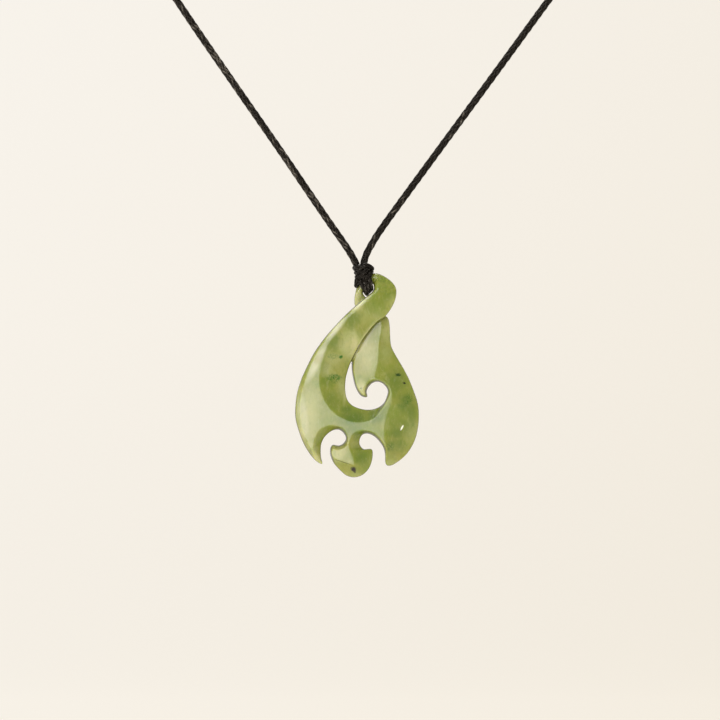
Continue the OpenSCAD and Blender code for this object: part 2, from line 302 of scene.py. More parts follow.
@dataclass
class Shape(Sheet):
    """A geometry tree, from its named inputs to one dressed mesh."""

    @classmethod
    def new(cls, name: str) -> Shape:
        """Starts an empty geometry tree of a name."""
        return cls(bpy.data.node_groups.new(name, "GeometryNodeTree"))

    def named_inputs(self, usual: dict[str, float | int | None]) -> list[Value]:
        """Gives the tree its inputs.

        Args:
            usual: Each input's name and usual value. None stands for a geometry.

        Returns:
            The inputs, to be linked from.
        """
        kinds = {float: "NodeSocketFloat", int: "NodeSocketInt", type(None): "NodeSocketGeometry"}
        for name, value in usual.items():
            socket = self.tree.interface.new_socket(name, in_out="INPUT", socket_type=kinds[type(value)])
            if value is not None:
                socket.default_value = value
        holder = self.add("NodeGroupInput")
        return [holder.other(name) for name in usual]

    def held(self, geometry: Value, value: Value, name: str) -> tuple[Value, Value]:
        """Keeps a value on the points of a path, so that it can be read after they move.

        Args:
            geometry: The path.
            value: What is kept.
            name: The value's name in the node.

        Returns:
            The path, and the kept value.
        """
        settings = {"domain": "POINT", "captures": [name]}
        path = self.add("GeometryNodeCaptureAttribute", settings, {"Geometry": geometry, name: value})
        return path, path.other(name)

    def thread(
        self, line: Value, sides: Value | int, radius: Value, along: Value, number: Value | float,
        crown: Value | float,
    ) -> Value:
        """Sweeps a round thread along lines, and stores on it what its material reads.

        Args:
            line: The middle lines.
            sides: The sides of its section.
            radius: Its radius.
            along: How far along its line each point lies, in metres.
            number: The number of each line.
            crown: How high each point stands in the weave, from 0 to 1.

        Returns:
            The mesh.
        """
        ring = self.add("GeometryNodeCurvePrimitiveCircle", inputs={"Resolution": sides, "Radius": 1.0})
        ring, around = self.held(ring, self.add("GeometryNodeSplineParameter", output="Factor"), "around")
        swept = {"Curve": line, "Profile Curve": ring, "Scale": radius, "Fill Caps": True}
        mesh = self.add("GeometryNodeCurveToMesh", inputs=swept)
        yarn = self.joined(along * (1.0 / MM), around, number)
        for name, kind, value in (("crown", "FLOAT", crown), ("yarn", "FLOAT_VECTOR", yarn)):
            settings = {"data_type": kind, "domain": "POINT"}
            inputs = {"Geometry": mesh, "Name": name, "Value": value}
            mesh = self.add("GeometryNodeStoreNamedAttribute", settings, inputs)
        return mesh

    def finished(self, pieces: list[Value], material: bpy.types.Material) -> bpy.types.NodeTree:
        """Ends the tree with one smooth mesh of one material.

        Args:
            pieces: The meshes to join.
            material: What they are made of.

        Returns:
            The whole tree.
        """
        one = self.add("GeometryNodeJoinGeometry", inputs={0: pieces})
        smooth = self.add("GeometryNodeSetShadeSmooth", inputs={"Geometry": one})
        real = self.add("GeometryNodeRealizeInstances", inputs={"Geometry": smooth})
        dressed = self.add("GeometryNodeSetMaterial", inputs={"Geometry": real, "Material": material})
        self.tree.interface.new_socket("Piece", in_out="OUTPUT", socket_type="NodeSocketGeometry")
        self.add("NodeGroupOutput", inputs={0: dressed})
        return self.tree


# ---- finishes


def between(a: Point, b: Point, share: float) -> Point:
    """The colour a given share of the way from a to b."""
    return tuple(p + (q - p) * share for p, q in zip(a, b))


@dataclass(frozen=True)
class PolishedStone:
    """Polished, slightly translucent nephrite: cloudy greens, with pale thin ends and small flecks. Its
    colour also holds painted light: glow in the thin parts, shade in dark patches and along the outline, and
    reflections on the bevels.
    """

    # The darkest green, which also gives the painted shade of the dark patches
    deep_green_and_shade: Point = (0.076, 0.156, 0.015)
    green: Point = (0.212, 0.270, 0.034)
    olive: Point = (0.316, 0.312, 0.064)
    pale: Point = (0.545, 0.525, 0.250)
    # The grey of the painted reflections on the bevels, the dark of the scratch and of the painted shade
    # along the outline, and the small white streak
    reflection_grey: Point = (0.570, 0.570, 0.370)
    scratch_and_outline_shade: Point = (0.050, 0.048, 0.014)
    bright: Point = (0.93, 0.93, 0.86)
    # The two ends of the flecks' colours
    green_ink: Point = (0.028, 0.140, 0.004)
    brown_ink: Point = (0.030, 0.020, 0.013)
    roughness: float = 0.10
    # The lean of the stone's veins in degrees
    lean: float = 35.0
    # The furthest that the clouds and the flecks' outlines are moved about
    swirl: float = 3.0
    fray: float = 0.9
    # Half the depth to which the clouds, the flecks and the streaks go, and the streaks' middle y
    cloud_depth: float = 30.0
    fleck_depth: float = 9.0
    streak_depth: float = 3.2
    front: float = -2.0
    # Flecks that are weaker than this are broken up into specks
    solid_fleck: float = 0.8
    # Pale patches on the thin places, partly the stone's paler colour and partly painted glow of light
    # through the thin stone: middle x, z, reach in x, z, and strength
    pale_and_glow_patches: tuple[Row, ...] = (
        (-3.2, -189.3, 4.8, 5.4, 0.72), (-7.4, -192.8, 3.6, 3.2, 0.40),
        (-8.6, -195.2, 2.8, 3.6, 0.45), (-5.0, -199.8, 2.2, 4.2, 0.40),
        (-13.4, -206.5, 4.6, 11.0, 0.55), (-16.0, -203.0, 2.2, 10.0, 0.40),
        (-11.3, -217.6, 3.4, 4.6, 1.00), (-15.4, -211.0, 2.6, 5.0, 0.95),
        (-13.4, -213.6, 2.6, 3.6, 0.60), (-2.4, -189.0, 1.9, 5.6, 1.00),
        (-6.2, -215.8, 3.6, 3.2, 0.60), (-2.0, -221.6, 4.6, 2.0, 0.40),
        (7.2, -218.4, 3.2, 2.6, 0.40), (12.4, -210.0, 3.2, 5.0, 0.30),
        (1.2, -192.0, 3.4, 6.4, 0.45), (-0.3, -200.2, 2.6, 3.4, 0.85),
        (5.9, -185.6, 2.4, 5.6, 0.48), (5.4, -208.4, 1.6, 2.6, 0.25),
        (5.4, -191.0, 2.6, 4.2, 0.28), (3.4, -182.4, 3.4, 3.0, 0.22),
        (7.6, -179.0, 3.0, 3.4, 0.35), (-1.6, -178.4, 2.6, 4.6, 1.00),
        (0.4, -182.0, 2.4, 2.4, 0.20),
    )
    # Dark green patches, partly the stone's own colour and partly painted shade: the same columns
    green_and_shade_pools: tuple[Row, ...] = (
        (0.2, -185.2, 3.2, 2.6, 0.10), (-8.6, -198.6, 2.6, 1.8, 0.35),
        (-7.8, -202.8, 4.2, 4.6, 0.36), (-2.4, -207.4, 6.0, 3.4, 0.85),
        (3.2, -206.4, 4.2, 2.8, 0.70), (10.6, -203.6, 3.0, 5.0, 0.60),
        (8.0, -198.4, 4.0, 5.0, 0.55), (8.4, -213.6, 3.6, 3.6, 0.50),
        (9.4, -209.6, 4.6, 4.0, 0.45), (-0.4, -216.2, 2.8, 3.6, 0.50),
        (5.6, -176.2, 3.6, 4.2, 0.18), (5.0, -173.4, 4.4, 1.8, 0.35),
        (-3.0, -183.0, 3.4, 3.0, 0.45), (-7.6, -188.2, 2.6, 3.4, 0.42),
        (-9.4, -194.6, 1.8, 4.2, 0.30), (-4.4, -205.6, 2.6, 1.3, 0.70),
        (8.2, -210.6, 3.4, 2.6, 0.70), (12.2, -206.0, 1.8, 6.5, 0.60),
        (9.0, -197.0, 3.6, 4.4, 0.25), (-3.2, -210.2, 5.6, 2.8, 0.60),
    )
    # Dark flecks: middle x, z, reach in x, z, how brown they are, and strength
    flecks: tuple[Row, ...] = (
        (-2.34, -219.68, 0.90, 0.80, 1.0, 1.0), (-2.05, -220.20, 0.42, 0.55, 1.0, 0.9),
        (8.61, -196.60, 0.90, 0.52, 0.6, 1.0), (10.09, -198.62, 0.42, 0.34, 0.9, 1.0),
        (-5.41, -192.22, 0.72, 0.58, 0.0, 1.0), (-7.60, -192.00, 2.20, 1.10, 0.0, 0.40),
        (-7.20, -197.20, 2.70, 1.00, 0.0, 0.75), (-6.90, -197.60, 1.60, 1.50, 0.0, 0.70),
        (-0.49, -199.85, 0.40, 0.36, 0.0, 0.7), (3.20, -206.98, 0.40, 0.30, 0.7, 0.6),
        (10.90, -202.60, 1.60, 1.80, 0.1, 0.65), (9.40, -204.20, 1.80, 0.90, 0.1, 0.40),
        (6.60, -214.00, 1.40, 1.80, 0.1, 0.60), (-6.20, -187.40, 1.10, 0.90, 0.0, 0.25),
    )
    # The small white streak, and the dark line along the tongue's ridge: middle x, z, half length, half
    # width, lean
    white_streak: Row = (9.55, -209.55, 0.90, 0.27, 28.0)
    scratch: Row = (-4.86, -217.93, 2.75, 0.13, 108.0)
    scratch_strength: float = 0.6
    # Painted reflections of the lamps on the bevels, as pale strips: the same columns, strength, and how
    # grey they are
    reflection_bands: tuple[Row, ...] = (
        (-0.3, -178.6, 5.0, 0.95, 47.0, 0.90, 1.0), (-6.6, -185.4, 5.8, 1.30, 40.0, 0.85, 1.0),
        (-11.4, -193.6, 7.0, 1.50, 27.0, 0.80, 1.0), (-14.6, -206.5, 7.5, 1.60, -8.0, 0.40, 1.0),
        (0.4, -188.2, 7.4, 1.30, 31.0, 0.80, 0.0), (-4.2, -200.6, 4.6, 0.80, 8.0, 0.50, 0.0),
    )

    def material(self) -> bpy.types.Material:
        """The stone as a material.

        Returns:
            The new material.
        """
        settings = {"IOR": 1.55, "Subsurface Weight": 0.85, "Subsurface Scale": 1.1 * MM}
        stone = Surface.new("polished_green_stone", {**settings, "Subsurface Radius": (1.0, 1.15, 0.45)})
        here = stone.place()
        warped = stone.shaken(here, 0.3, 3.0, self.swirl)
        clouds = stone.noise(warped, 7.0, 4.0, 0.55)
        mottle = stone.noise(warped, 2.2, 5.0, 0.6)
        veins = stone.noise(stone.stretched(warped, self.lean, (1.0, 1.0, 0.28)), 1.6, 4.0, 0.6, warp=0.4)
        grains = stone.noise(stone.stretched(here, self.lean, (1.0, 1.0, 0.45)), 0.55, 4.0, 0.7)
        fine = stone.noise(here, 0.45, 4.0, 0.7)
        glow, deep_green_and_shade = (self._gathered(stone, warped, rows) for rows in (self.pale_and_glow_patches, self.green_and_shade_pools))
        # Painted shade along the outline, where the surface turns away from the view
        outline_shade = stone.add("ShaderNodeLayerWeight", inputs={"Blend": 0.5}, output="Facing").ramp(0.36, 0.80)
        body = stone.mix((clouds + mottle * 0.45).ramp(0.45, 1.05), self.green, self.olive)
        # From the inside out: how much of each colour lies over the ones before it
        layers = [
            # Pale thin places: partly the stone's paler colour, partly painted glow of light through them
            (glow * (0.75 + mottle * 0.3), self.pale),
            # Dark green patches, partly painted shade
            (deep_green_and_shade * (0.45 + veins * 0.8), self.deep_green_and_shade),
            (veins.ramp(0.58, 0.74) * 0.25, self.pale),
            (veins.ramp(0.44, 0.28) * 0.30, self.deep_green_and_shade),
            (grains.ramp(0.52, 0.72) * 0.22, self.deep_green_and_shade),
            (grains.ramp(0.48, 0.30) * 0.16, self.pale),
            *self._flecks(stone, here),
            # Painted reflections of the lamps on the bevels
            *self._reflection_bands(stone, here),
            (self._streak(stone, here, self.white_streak, 0.5), self.bright),
            (self._streak(stone, here, self.scratch, 0.5) * self.scratch_strength, self.scratch_and_outline_shade),
            # Painted shade along the outline
            (outline_shade * 0.93, self.scratch_and_outline_shade),
        ]
        for share, colour in layers:
            body = stone.mix(share, body, colour)
        stone.feed("Base Color", body)
        stone.feed("Roughness", self.roughness + fine * 0.05 + mottle * 0.03)
        stone.emboss(mottle * 0.5 + fine * 0.12, 0.10)
        return stone.material

    def _gathered(self, stone: Surface, place: Value, rows: tuple[Row, ...]) -> Value:
        """Several soft patches as one mask.

        Args:
            stone: The surface to draw on.
            place: Where the patches are read, moved by the swirl of the clouds.
            rows: The patches.

        Returns:
            The largest of the patches at each place.
        """
        shift = self.swirl / 2
        patches = [
            stone.blob(place, (x + shift, shift, z + shift), (wide, self.cloud_depth, high), 0.1) * strength
            for x, z, wide, high, strength in rows
        ]
        return reduce(Value.larger, patches)

    def _flecks(self, stone: Surface, place: Value) -> list[tuple[Value, Point]]:
        """The dark flecks, with frayed outlines.

        Args:
            stone: The surface to draw on.
            place: Where they are read.

        Returns:
            The mask and the colour of each fleck.
        """
        shift = self.fray / 2
        frayed = stone.shaken(place, 2.4, 4.0, self.fray)
        specks = stone.noise(place, 0.36, 3.0, 0.7).ramp(0.47, 0.56)
        layers = []
        for x, z, wide, high, brown, strength in self.flecks:
            reach = (wide, self.fleck_depth, high)
            mask = stone.blob(frayed, (x + shift, shift, z + shift), reach, 0.45)
            if strength < self.solid_fleck:
                mask = mask * (0.18 + specks * 0.82)
            layers.append((mask * strength, between(self.green_ink, self.brown_ink, brown)))
        return layers

    def _reflection_bands(self, stone: Surface, place: Value) -> list[tuple[Value, Point]]:
        """The painted reflections on the bevels, as pale strips.

        Args:
            stone: The surface to draw on.
            place: Where they are read.

        Returns:
            The mask and the colour of each band.
        """
        return [
            (self._streak(stone, place, line, 0.3) * strength, between(self.pale, self.reflection_grey, grey))
            for *line, strength, grey in self.reflection_bands
        ]

    def _streak(self, stone: Surface, place: Value, row: Sequence[float], core: float) -> Value:
        """A thin straight mark on the front.

        Args:
            stone: The surface to draw on.
            place: Where it is read.
            row: Its middle x, z, its half length and half width, and its lean to the right in degrees.
            core: The share of its width that is full.

        Returns:
            The mask, from 0 to 1.
        """
        x, z, long, thin, lean = row
        offset = stone.vector("SUBTRACT", place, (x, self.front, z))
        turned = stone.stretched(offset, -lean, (1.0, 1.0, 1.0))
        return stone.blob(turned, (0.0, 0.0, 0.0), (thin, self.streak_depth, long), core)


@dataclass(frozen=True)
class WaxedBraid:
    """Black-brown waxed cotton, with fine yarn lines along each strand and grey on its crowns: partly greyed
    wax, partly painted sheen.
    """

    name: str
    # How much of the strands is grey: partly greyed wax, partly painted sheen
    bloom_and_sheen: float = 0.5
    dark: Point = (0.0022, 0.0014, 0.0006)
    # The grey of greyed wax and wear, and of painted sheen
    worn_and_sheen: Point = (0.175, 0.155, 0.126)
    roughness: float = 0.26
    # The yarns of a strand, and how they twist, in radians for each millimetre
    yarns: int = 4
    twist: float = 2.5

    def material(self) -> bpy.types.Material:
        """The cord's surface as a material.

        Returns:
            The new material.
        """
        settings = {"IOR": 1.45, "Specular IOR Level": 0.26, "Specular Tint": (1.0, 0.90, 0.78, 1.0)}
        cord = Surface.new(self.name, settings)
        yarn = cord.add("ShaderNodeAttribute", {"attribute_name": "yarn"}, output="Vector")
        crown = cord.add("ShaderNodeAttribute", {"attribute_name": "crown"}, output="Fac")
        along, around, _ = cord.parts(yarn)
        fibres = (around * (FULL_TURN * self.yarns) + along * self.twist).sin() * 0.5 + 0.5
        # The grey of greyed wax and of painted sheen comes in long patches, each on one strand
        dust_and_sheen = cord.noise(cord.vector("MULTIPLY", yarn, (0.14, 0.0, 3.7)), 1.0, 3.0, 0.6)
        specks = cord.noise(cord.place(), 0.16, 2.0, 0.7)
        spread = 0.20 * self.bloom_and_sheen
        grey = dust_and_sheen.ramp(0.62 - spread, 0.70 - spread)
        # Most of the grey sits on the crowns: partly wear, partly painted sheen
        share = (0.12 + crown * 0.88) * grey * (0.20 + fibres * 0.80)
        cord.feed("Base Color", cord.mix(share * (0.5 + specks), self.dark, self.worn_and_sheen))
        cord.feed("Roughness", self.roughness + dust_and_sheen * 0.2 - crown * 0.10)
        cord.emboss(fibres * 0.8 + specks * 0.5, 0.5)
        return cord.material


@dataclass(frozen=True)
class Paper:
    """The pale warm paper of the studio. It glows a little, so that it stays even."""

    left: Point = (0.949, 0.920, 0.873)
    right: Point = (0.848, 0.782, 0.668)
    glow: float = 0.915
    # The share of its colour that the lamps light, and the strength of its grain
    lit: float = 0.10
    grain: float = 0.02
    # The way from its left colour to its right one, downwards too: darker to the right and downwards, a
    # painted fall-off of the light on the paper
    fade: float = 2200.0

    def material(self) -> bpy.types.Material:
        """The paper as a material.

        Returns:
            The new material.
        """
        paper = Surface.new("warm_paper", {"Roughness": 0.9, "Emission Strength": self.glow})
        here = paper.place()
        x, _, z = paper.parts(here)
        tone = paper.mix(((x - z + MIDDLE[2]) / self.fade + 0.5).clamped(), self.left, self.right)
        grain = paper.noise(here, 2.0, 4.0, 0.55)
        paper.feed("Emission Color", paper.mix(self.grain, tone, grain, Blend.MULTIPLY))
        paper.feed("Base Color", paper.mix(1.0, tone, (self.lit,) * 3, Blend.MULTIPLY))
        return paper.material


# ---- meshes and braids


def placed(name: str, data: bpy.types.ID) -> bpy.types.Object:
    """Puts a new object into the scene, at the origin.

    Args:
        name: The object's name.
        data: Its mesh, curve, lamp or camera.

    Returns:
        The object.
    """
    made = bpy.data.objects.new(name, data)
    bpy.context.scene.collection.objects.link(made)
    return made


def baked(source: bpy.types.Object, name: str) -> bpy.types.Object:
    """Keeps what an object's modifiers make of it as a plain mesh.

    Args:
        source: The object. It is removed.
        name: The name of the new object.

    Returns:
        The new mesh object.
    """
    bpy.context.view_layer.update()
    graph = bpy.context.evaluated_depsgraph_get()
    shaped = source.evaluated_get(graph)
    mesh = bpy.data.meshes.new_from_object(shaped, preserve_all_data_layers=True, depsgraph=graph)
    mesh.name = name
    source.modifiers.clear()
    bpy.data.objects.remove(source)
    return placed(name, mesh)


def dressed_mesh(
    source: bpy.types.Object, tree: bpy.types.NodeTree, sizes: dict[str, float | int], name: str
) -> bpy.types.Object:
    """Runs a geometry tree on an object and keeps the result as a plain mesh.

    Args:
        source: The object that carries the paths. It is removed.
        tree: The geometry tree.
        sizes: Values of the tree's inputs, by name.
        name: The name of the new object.

    Returns:
        The new mesh object, at the origin.
    """
    modifier = source.modifiers.new("shape", "NODES")
    modifier.node_group = tree
    for item in tree.interface.items_tree:
        if item.item_type == "SOCKET" and item.in_out == "INPUT" and item.name in sizes:
            modifier[item.identifier] = sizes[item.name]
    return baked(source, name)


@dataclass(frozen=True)
class Run:
    """One run of cord: the points of its middle line in millimetres, its diameter, and how it ends."""

    points: tuple[Point, ...]
    diameter: float
    closed: bool = False
    round_ends: bool = False
    # A round end starts this far in, and is never thinner than this share of the full section
    end_inset: float = 0.04
    end_least: float = 0.05

    def radii(self) -> list[float]:
        """The radius at each point: full, or drawn in at the ends like a ball.

        Returns:
            One radius for each point, in millimetres.
        """
        full = self.diameter / 2
        if not self.round_ends:
            return [full] * len(self.points)
        lengths = [0.0]
        for a, b in zip(self.points, self.points[1:]):
            lengths.append(lengths[-1] + math.dist(a, b))
        reach = [min(1.0, (min(s, lengths[-1] - s) + self.end_inset) / full) for s in lengths]
        return [full * math.sqrt(max(1.0 - (1.0 - share) ** 2, self.end_least)) for share in reach]


def paths_object(name: str, runs: list[Run]) -> bpy.types.Object:
    """A curve object with one poly spline for each run.

    Args:
        name: The object's name.
        runs: The runs of cord.

    Returns:
        The curve object, in metres.
    """
    curve = bpy.data.curves.new(name, "CURVE")
    curve.dimensions = "3D"
    curve.twist_mode = "MINIMUM"
    for run in runs:
        spline = curve.splines.new("POLY")
        spline.points.add(len(run.points) - 1)
        for point, place, radius in zip(spline.points, run.points, run.radii()):
            point.co = (*(c * MM for c in place), 1.0)
            point.radius = radius * MM
        spline.use_cyclic_u = run.closed
    return placed(name, curve)


def rounded_route(points: list[Vector], cuts: int) -> list[Vector]:
    """A smooth line through points: a Catmull-Rom curve.

    Args:
        points: The points to run through.
        cuts: Pieces between two points.

    Returns:
        The points of the line.
    """
    last = len(points) - 1
    line: list[Vector] = []
    for i in range(last):
        a, b, c, d = (points[min(max(k, 0), last)] for k in range(i - 1, i + 3))
        square, cube = 2 * a - 5 * b + 4 * c - d, 3 * b - a - 3 * c + d
        for k in range(cuts):
            t = k / cuts
            line.append(0.5 * (2 * b + (c - a) * t + square * t * t + cube * t**3))
    return line + [points[last]]


@dataclass(frozen=True)
class Braid:
    """A round braid: strands, half each way round, that go over and under each other along a path."""

    strands: int = 12
    # Shares of the cord's radius: the strands' middles, how far they weave in and out, and their radius
    lay: float = 0.735
    weave: float = 0.035
    strand: float = 0.265
    # The same for the core inside them
    core: float = 0.75
    pitch: float = 13.0
    # The spacing of the points along a strand, and the sides of its section
    step: float = 0.4
    sides: int = 7

    def laid(self, name: str, runs: list[Run], material: bpy.types.Material) -> bpy.types.Object:
        """Lays the braid along runs of cord.

        Args:
            name: The name of the new piece.
            runs: The runs.
            material: What the strands are made of.

        Returns:
            The braid, as one mesh.
        """
        sizes = {"Pitch": self.pitch * MM, "Step": self.step * MM, "Strand Sides": self.sides}
        return dressed_mesh(paths_object(name + "_path", runs), self._tree(sizes, material), sizes, name)

    def _tree(self, usual: dict[str, float | int], material: bpy.types.Material) -> bpy.types.NodeTree:
        """The geometry tree. The radius of a path's points is the radius of the finished cord.

        Args:
            usual: Names and usual values of its inputs beside the path.
            material: What the strands are made of.

        Returns:
            The tree.
        """
        tree = Shape.new("round_braid")
        path, pitch, step, sides = tree.named_inputs({"Path": None, **usual})
        line = tree.add("GeometryNodeResampleCurve", {"mode": "LENGTH"}, {"Curve": path, "Length": step})
        share = tree.add("GeometryNodeSplineParameter", output="Factor")
        whole = tree.add("GeometryNodeSplineLength", output="Length")
        own = tree.add("GeometryNodeInputRadius")
        # Half turns only, so that the weave of a closed path meets itself
        turns = (whole / pitch * 2.0).rounded() / 2.0
        line, wind = tree.held(line, share * turns * FULL_TURN, "wind")
        line, size = tree.held(line, own, "size")
        line, along = tree.held(line, share.other("Length"), "along")

        inputs = {"Geometry": line, "Amount": self.strands}
        copies = tree.add("GeometryNodeDuplicateElements", {"domain": "SPLINE"}, inputs)
        index = copies.other("Duplicate Index")
        half = self.strands / 2
        way = (index / half).floored() * -2.0 + 1.0
        angle = way * wind + index * (FULL_TURN / half)
        weave = way * (wind * half).cos()
        away = size * (self.lay + weave * self.weave)
        side = tree.add("GeometryNodeInputNormal")
        other = tree.vector("CROSS_PRODUCT", tree.add("GeometryNodeInputTangent"), side)
        sideways = tree.vector("SCALE", side, angle.cos() * away)
        shift = tree.vector("ADD", sideways, tree.vector("SCALE", other, angle.sin() * away))
        copies, number = tree.held(copies, index, "number")
        copies, over = tree.held(copies, weave, "over")
        woven = tree.add("GeometryNodeSetPosition", inputs={"Geometry": copies, "Offset": shift})

        pieces = []
        for curve, share_of_size, number_on_it, crown in (
            (woven, self.strand, number, over * 0.5 + 0.5),
            (line, self.core, 0.0, 0.0),
        ):
            inputs = {"Curve": curve, "Radius": size * share_of_size}
            sized = tree.add("GeometryNodeSetCurveRadius", inputs=inputs)
            pieces.append(tree.thread(sized, sides, own, along, number_on_it, crown))
        return tree.finished(pieces, material)


# ---- sub-assemblies

# The right half of the cord's middle line behind the neck, upwards: x and z
NAPE = (
    (62.3, -66.0), (61.8, -52.0), (57.5, -37.0), (50.0, -23.5), (40.0, -13.0), (29.0, -5.5),
    (19.0, -0.8), (13.0, 1.4), (10.0, 1.8),
)
LEFT_ROUTE = (
    (-1.8, -169.1), (-2.8, -167.2), (-4.6, -164.4), (-10.1, -156.5), (-20.1, -141.8), (-31.2, -125.8),
    (-42.3, -109.7), (-50.4, -97.3), (-55.6, -88.0), (-60.0, -77.5), *((-x, z) for x, z in NAPE),
)
RIGHT_ROUTE = (
    (0.2, -169.1), (0.9, -166.8), (2.9, -163.2), (5.3, -159.6), (10.6, -152.3), (20.2, -139.2),
    (30.2, -125.6), (40.2, -111.9), (49.6, -98.8), (55.1, -89.5), (59.8, -78.0), *NAPE,
)


@dataclass
class Leg:
    """One leg of the cord, from the knot to the closure."""

    name: str
    route: tuple[tuple[float, float], ...]
    diameter: float = 1.5
    # The braid's crowns stand a little way out of the round that its diameter gives
    fullness: float = 1.17
    cuts: int = 6
    # How far the braid runs on inside the knot and inside the closure
    into_knot: float = 0.6
    into_closure: float = 1.0

    def build(self, braid: Braid, material: bpy.types.Material) -> bpy.types.Object:
        """Args:
            braid: How it is braided.
            material: What its strands are made of.

        Returns:
            The finished piece.
        """
        line = rounded_route([Vector((x, 0.0, z)) for x, z in self.route], self.cuts)
        length = sum((b - a).length for a, b in zip(line, line[1:])) * MM
        first = line[0] + (line[0] - line[1]).normalized() * self.into_knot
        last = line[-1] + (line[-1] - line[-2]).normalized() * self.into_closure
        points = tuple(tuple(p) for p in (first, *line, last))
        piece = braid.laid(self.name + "_braid", [Run(points, self.diameter * self.fullness)], material)
        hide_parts(self.name)
        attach(piece, "necklace")
        centre = [tuple(p * MM) for p in line]
        self.diameter * MM
        return piece


@dataclass
class Knot:
    """The turns round the bar, the wraps above them, and the cut tail."""

    hang: Point = (1.1, 0.0, -173.5)
    turn_diameter: float = 1.2
    turn_radius: float = 2.4
    # Middle x, z and lean of each turn. These and all places below are measured from the bar
    turns: tuple[Point, ...] = ((-1.37, -1.07, 31.0), (-0.49, -0.33, 21.0), (0.51, 0.27, 10.0))
    # Middle x, z, tilt, radius and diameter of each wrap
    wraps: tuple[Row, ...] = (
        (-1.05, 3.05, 3.0, 1.90, 1.65),
        (-0.95, 2.20, -6.0, 1.70, 1.45),
    )
    # Diameter and points of each open strand
    strands: tuple[tuple[float, tuple[Point, ...]], ...] = (
        # The tail, cut off short
        (1.3, ((-1.9, -0.7, 2.4), (-2.3, -1.4, 1.2), (-2.6, -1.8, -0.1), (-2.7, -1.7, -1.8))),
        # Bights that cross in front of the wraps and lock them
        (1.35, (
            (-2.75, -1.0, -0.6), (-2.1, -2.0, 0.3), (-1.3, -2.6, 1.2), (-0.5, -2.5, 2.2), (0.1, -1.6, 3.0),
        )),
        (1.25, (
            (1.1, -1.0, 2.6), (0.6, -2.1, 1.7), (-0.2, -2.7, 0.7), (-0.9, -2.3, -0.2), (-1.4, -1.4, -0.9),
        )),
        (1.3, ((-2.7, -0.6, 3.3), (-2.1, -1.7, 2.7), (-1.6, -2.1, 2.0), (-1.6, -1.5, 1.2))),
        (1.25, ((-1.0, -1.2, 4.0), (-0.2, -2.0, 3.7), (0.7, -1.8, 3.3), (1.3, -0.7, 2.9))),
        # The core that the legs run into
        (1.6, ((-1.7, 0.0, 4.1), (-1.5, 0.0, 3.3), (-1.2, 0.0, 2.4), (-0.9, 0.0, 0.9))),
        (1.6, ((-0.4, 0.0, 4.1), (-0.3, 0.2, 3.3), (-0.2, 0.2, 2.4), (0.0, 0.2, 1.3))),
        (1.5, ((-1.9, 0.5, 3.7), (-0.9, 0.9, 3.0), (-1.5, 0.8, 1.8))),
        (1.5, ((-1.6, -0.8, 3.6), (-0.9, -0.9, 2.5), (-0.6, -0.9, 1.4))),
    )
    # Points of a ring, and pieces between two points of an open strand
    ring_points: int = 48
    cuts: int = 12

    def _ring(self, x: float, z: float, tilt: float, radius: float, diameter: float) -> Run:
        """One closed ring of cord.

        Args:
            x: Its middle, from the bar.
            z: The same, upwards.
            tilt: The turn of its axis about Y, from straight up.
            radius: The radius of its middle line.
            diameter: The diameter of the cord.

        Returns:
            The run of cord.
        """
        a = math.radians(tilt)
        points = []
        for k in range(self.ring_points):
            t = FULL_TURN * k / self.ring_points
            u, v = radius * math.cos(t), radius * math.sin(t)
            points.append((self.hang[0] + x + u * math.cos(a), v, self.hang[2] + z - u * math.sin(a)))
        return Run(tuple(points), diameter, closed=True)

    def _strand(self, diameter: float, points: tuple[Point, ...]) -> Run:
        """An open run of cord through points that are given from the bar."""
        line = rounded_route([Vector(p) + Vector(self.hang) for p in points], self.cuts)
        return Run(tuple(tuple(p) for p in line), diameter, round_ends=True)

    def build(self, braid: Braid, material: bpy.types.Material) -> bpy.types.Object:
        """Makes the knot.

        Args:
            braid: How its cord is braided.
            material: What its strands are made of.

        Returns:
            The finished piece.
        """
        rows = [(x, z, 90 - lean, self.turn_radius, self.turn_diameter) for x, z, lean in self.turns]
        runs = [self._ring(*row) for row in (*rows, *self.wraps)]
        runs += [self._strand(*strand) for strand in self.strands]
        piece = braid.laid("pendant_knot_braid", runs, material)
        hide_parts("pendant_knot")
        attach(piece, "necklace")
        return piece


